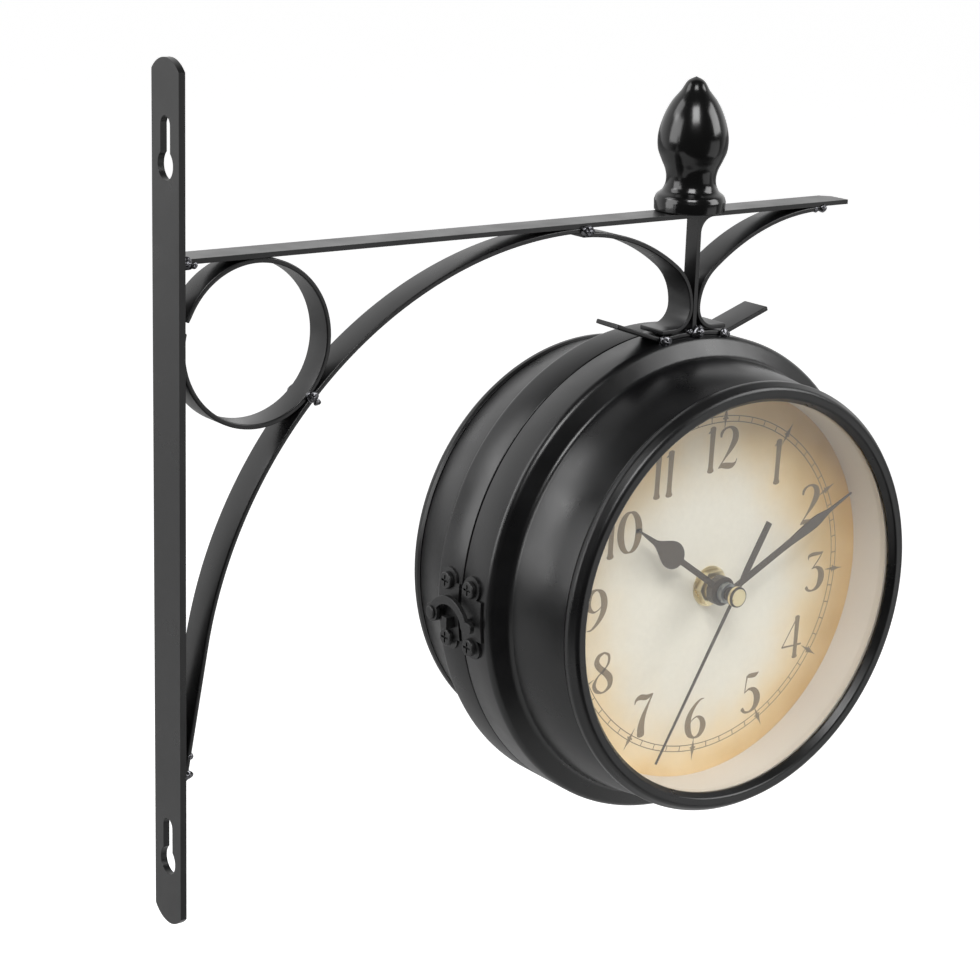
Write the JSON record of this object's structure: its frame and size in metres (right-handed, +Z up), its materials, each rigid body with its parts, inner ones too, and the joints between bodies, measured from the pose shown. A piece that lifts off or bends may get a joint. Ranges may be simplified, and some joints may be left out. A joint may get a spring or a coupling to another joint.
{
  "type": "double sided station clock",
  "caption": "Round double-faced battery wall clock in a stepped hinged drum, hung from a flat-bar wall bracket with a brace arc, a rolled ring, scrolls and a turned finial.",
  "frame": {"origin": "on the wall face of the strap, half way up and half way across it", "axes": "+X points away from the wall along the arm, +Z is up, and the front dial faces -Y"},
  "size_m": [0.2727, 0.0869, 0.2537],
  "materials": {
    "powder_coat": "satin black powder coat",
    "finial_paint": "gloss black paint",
    "steel_fitting": "black painted fittings",
    "glass": "clear flat glass",
    "dial_print": "printed cream dial, matt",
    "cream_plastic": "matt cream moulding",
    "spring_wire": "bright spring wire",
    "movement_plastic": "black moulded plastic",
    "cell_wrap": "printed metal can",
    "contact_steel": "nickel plated sheet",
    "brass": "bright brass",
    "hand_paint": "dark grey enamel"
  },
  "bodies": {
    "bracket_and_front": {"wall_strap": "powder_coat", "arm_bar": "powder_coat", "corner_ring": "powder_coat", "brace_arc": "powder_coat", "inner_scroll": "powder_coat", "outer_scroll": "powder_coat", "hanger_post": "powder_coat", "saddle_strip": "powder_coat", "weld_beads": "powder_coat", "finial": "finial_paint", "finial_stud": "steel_fitting", "front_case": "powder_coat", "front_bezel": "powder_coat", "front_glass": "glass", "front_spacer_sleeve": "cream_plastic", "front_dial": "dial_print", "front_dial_snap_ring": "spring_wire", "front_movement_housing": "movement_plastic", "front_movement_cover": "movement_plastic", "front_battery": "cell_wrap", "front_battery_contacts": "contact_steel", "front_threaded_bushing": "brass", "front_dial_washer": "brass", "front_hex_nut": "brass", "hinge_leaf_front": "steel_fitting", "hinge_rivets_front": "steel_fitting", "hinge_pin": "steel_fitting", "latch_plate_front": "steel_fitting", "latch_screws_front": "steel_fitting"},
    "rear_half": {"rear_case": "powder_coat", "rear_bezel": "powder_coat", "rear_glass": "glass", "rear_spacer_sleeve": "cream_plastic", "rear_dial": "dial_print", "rear_dial_snap_ring": "spring_wire", "rear_movement_housing": "movement_plastic", "rear_movement_cover": "movement_plastic", "rear_battery": "cell_wrap", "rear_battery_contacts": "contact_steel", "rear_threaded_bushing": "brass", "rear_dial_washer": "brass", "rear_hex_nut": "brass", "hinge_leaf_rear": "steel_fitting", "hinge_rivets_rear": "steel_fitting", "latch_plate_rear": "steel_fitting", "latch_screws_rear": "steel_fitting", "latch_rivet": "steel_fitting"},
    "latch_lever": {"latch_lever": "steel_fitting"},
    "front_second_hand": {"front_second_hand": "hand_paint"},
    "front_minute_hand": {"front_minute_hand": "hand_paint"},
    "front_hour_hand": {"front_hour_hand": "hand_paint"},
    "front_setting_knob": {"front_setting_knob": "movement_plastic"},
    "rear_second_hand": {"rear_second_hand": "hand_paint"},
    "rear_minute_hand": {"rear_minute_hand": "hand_paint"},
    "rear_hour_hand": {"rear_hour_hand": "hand_paint"},
    "rear_setting_knob": {"rear_setting_knob": "movement_plastic"}
  },
  "joints": [
    {"name": "case_hinge", "type": "hinge", "parent": "bracket_and_front", "child": "rear_half", "pos_m": [0.2707, 0.0065, -0.0477], "axis": [0, 0, -1], "range_deg": [0, 110]},
    {"name": "latch_swing", "type": "hinge", "parent": "rear_half", "child": "latch_lever", "pos_m": [0.1049, 0.017, -0.0527], "axis": [-1, 0, 0], "range_deg": [0, 100]},
    {"name": "front_second_turn", "type": "hinge", "parent": "bracket_and_front", "child": "front_second_hand", "pos_m": [0.1883, 0.0065, -0.0477], "axis": [0, 1, 0], "continuous": true},
    {"name": "front_minute_turn", "type": "hinge", "parent": "bracket_and_front", "child": "front_minute_hand", "pos_m": [0.1883, 0.0065, -0.0477], "axis": [0, 1, 0], "continuous": true},
    {"name": "front_hour_turn", "type": "hinge", "parent": "bracket_and_front", "child": "front_hour_hand", "pos_m": [0.1883, 0.0065, -0.0477], "axis": [0, 1, 0], "continuous": true},
    {"name": "front_knob_turn", "type": "hinge", "parent": "bracket_and_front", "child": "front_setting_knob", "pos_m": [0.1993, 0.0065, -0.0397], "axis": [0, 1, 0], "continuous": true},
    {"name": "rear_second_turn", "type": "hinge", "parent": "rear_half", "child": "rear_second_hand", "pos_m": [0.1883, 0.0065, -0.0477], "axis": [0, -1, 0], "continuous": true},
    {"name": "rear_minute_turn", "type": "hinge", "parent": "rear_half", "child": "rear_minute_hand", "pos_m": [0.1883, 0.0065, -0.0477], "axis": [0, -1, 0], "continuous": true},
    {"name": "rear_hour_turn", "type": "hinge", "parent": "rear_half", "child": "rear_hour_hand", "pos_m": [0.1883, 0.0065, -0.0477], "axis": [0, -1, 0], "continuous": true},
    {"name": "rear_knob_turn", "type": "hinge", "parent": "rear_half", "child": "rear_setting_knob", "pos_m": [0.1773, 0.0065, -0.0397], "axis": [0, -1, 0], "continuous": true}
  ],
  "couplings": [
    {"joint": "front_minute_turn", "follows": "front_second_turn", "ratio": 0.016667},
    {"joint": "front_hour_turn", "follows": "front_second_turn", "ratio": 0.0013889},
    {"joint": "front_knob_turn", "follows": "front_second_turn", "ratio": -0.016667},
    {"joint": "rear_minute_turn", "follows": "rear_second_turn", "ratio": 0.016667},
    {"joint": "rear_hour_turn", "follows": "rear_second_turn", "ratio": 0.0013889},
    {"joint": "rear_knob_turn", "follows": "rear_second_turn", "ratio": -0.016667}
  ]
}
